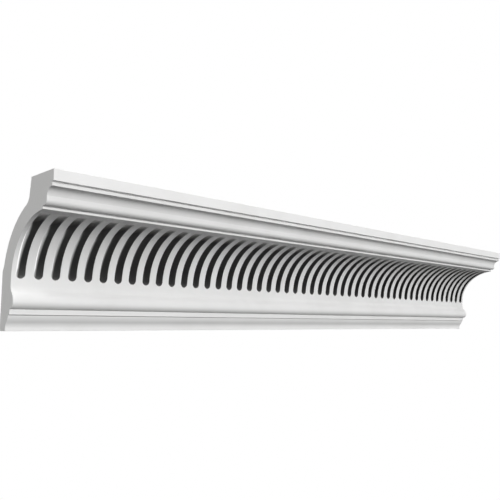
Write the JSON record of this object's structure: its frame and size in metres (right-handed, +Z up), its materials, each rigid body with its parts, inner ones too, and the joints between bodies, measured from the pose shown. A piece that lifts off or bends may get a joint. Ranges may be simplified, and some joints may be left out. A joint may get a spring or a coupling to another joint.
{
  "type": "slotted cove cornice",
  "caption": "Cove cornice length for the join of a wall and a ceiling, with a stepped head, a beaded foot and a row of round-footed slots cut through its hollow.",
  "frame": {"origin": "middle of the narrow upright face that is glued to the wall, half way along the length", "axes": "+X along the wall, +Y into the wall so that the room is on -Y, +Z up towards the ceiling"},
  "size_m": [2, 0.219, 0.3155],
  "materials": {
    "moulded_white": "primed matt white"
  },
  "bodies": {
    "root": {"slotted_cornice": "moulded_white"}
  },
  "joints": []
}
